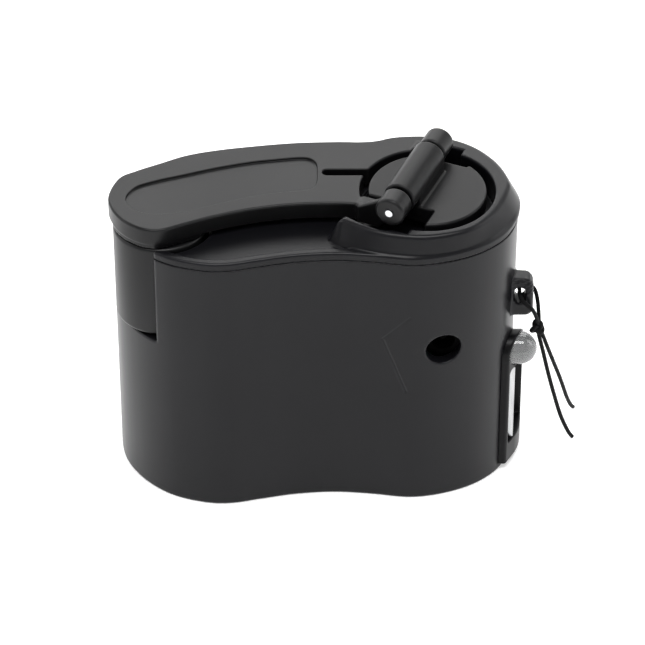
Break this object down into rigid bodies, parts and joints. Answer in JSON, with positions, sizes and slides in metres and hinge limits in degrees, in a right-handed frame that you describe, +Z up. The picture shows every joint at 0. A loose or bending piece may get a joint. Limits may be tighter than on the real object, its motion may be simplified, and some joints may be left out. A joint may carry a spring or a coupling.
{
  "type": "hand-crank emergency phone charger",
  "caption": "Pocket dynamo charger in a black bean-shaped case, with a crank arm folded over the deck, a grip in a side notch, a power socket, a lamp and a wrist cord.",
  "frame": {"origin": "centre of the bounding box on the resting face, cord left out", "axes": "+Z up from the flat base, +X towards the end with the power socket and lamp, +Y towards the long convex back"},
  "size_m": [0.0687, 0.0278, 0.052],
  "materials": {
    "black_case": "semi-gloss black ABS",
    "black_trim": "satin black plastic",
    "bright_steel": "bright steel",
    "white_nylon": "white nylon",
    "grey_plate": "dark grey plastic",
    "can_steel": "zinc-plated steel",
    "core_steel": "laminated steel",
    "copper_wire": "enamelled copper",
    "magnet_grey": "ferrite",
    "bronze": "sintered bronze",
    "board_green": "green board",
    "socket_steel": "nickel-plated steel",
    "socket_white": "white plastic",
    "contact_gold": "gold plate",
    "jack_black": "black plastic",
    "clear_lamp": "clear epoxy",
    "chip_black": "black epoxy",
    "sleeve_blue": "blue sleeve",
    "wire_red": "red insulation",
    "black_cord": "woven black nylon"
  },
  "bodies": {
    "case": {"body_shell": "black_case", "top_cover": "black_case", "faceplate": "black_trim", "case_screws": "bright_steel", "gear_axles": "bright_steel", "gear_plate": "grey_plate", "plate_screws": "bright_steel", "generator_case": "can_steel", "stator_core": "core_steel", "coils": "copper_wire", "bushes": "bronze", "terminal_block": "chip_black", "lead_wires": "wire_red", "circuit_board": "board_green", "usb_shell": "socket_steel", "usb_tongue": "socket_white", "usb_contacts": "contact_gold", "charge_jack": "jack_black", "lamp": "clear_lamp", "diodes": "chip_black", "capacitor": "sleeve_blue", "regulator": "chip_black", "lanyard_cord": "black_cord", "lanyard_knot": "black_cord"},
    "hub": {"crank_hub": "black_case", "drive_gear": "white_nylon", "spindle_screw": "bright_steel", "hinge_pin": "bright_steel"},
    "arm": {"crank_arm": "black_case", "grip_screw": "bright_steel"},
    "grip": {"grip": "black_case"},
    "second": {"second_gear": "white_nylon"},
    "third": {"third_gear": "white_nylon"},
    "rotor": {"rotor_magnet": "magnet_grey", "rotor_shaft": "bright_steel", "rotor_pinion": "bronze"}
  },
  "joints": [
    {"name": "crank_spin", "type": "hinge", "parent": "case", "child": "hub", "pos_m": [0.01455, -0.0003, 0.046], "axis": [0, 0, 1], "range_deg": [-0.7, 0.7]},
    {"name": "crank_unfold", "type": "hinge", "parent": "hub", "child": "arm", "pos_m": [0.01294, 0.00039, 0.0497], "axis": [0.3955, 0.9184, 0], "range_deg": [0, 180]},
    {"name": "grip_spin", "type": "hinge", "parent": "arm", "child": "grip", "pos_m": [-0.02345, -0.00311, 0.036], "axis": [0, 0, 1], "continuous": true},
    {"name": "second_gear_spin", "type": "hinge", "parent": "case", "child": "second", "pos_m": [0.00497, 0.00257, 0.035], "axis": [0, 0, 1], "range_deg": [-2.3, 2.3]},
    {"name": "third_gear_spin", "type": "hinge", "parent": "case", "child": "third", "pos_m": [-0.00448, 0.0009, 0.028], "axis": [0, 0, 1], "range_deg": [-6.8, 6.8]},
    {"name": "rotor_spin", "type": "hinge", "parent": "case", "child": "rotor", "pos_m": [-0.01394, -0.00077, 0.015], "axis": [0, 0, 1], "range_deg": [-20.2, 20.2]}
  ],
  "couplings": [
    {"joint": "second_gear_spin", "follows": "crank_spin", "ratio": -3.1667},
    {"joint": "third_gear_spin", "follows": "crank_spin", "ratio": 9.5},
    {"joint": "rotor_spin", "follows": "crank_spin", "ratio": -28.5}
  ]
}
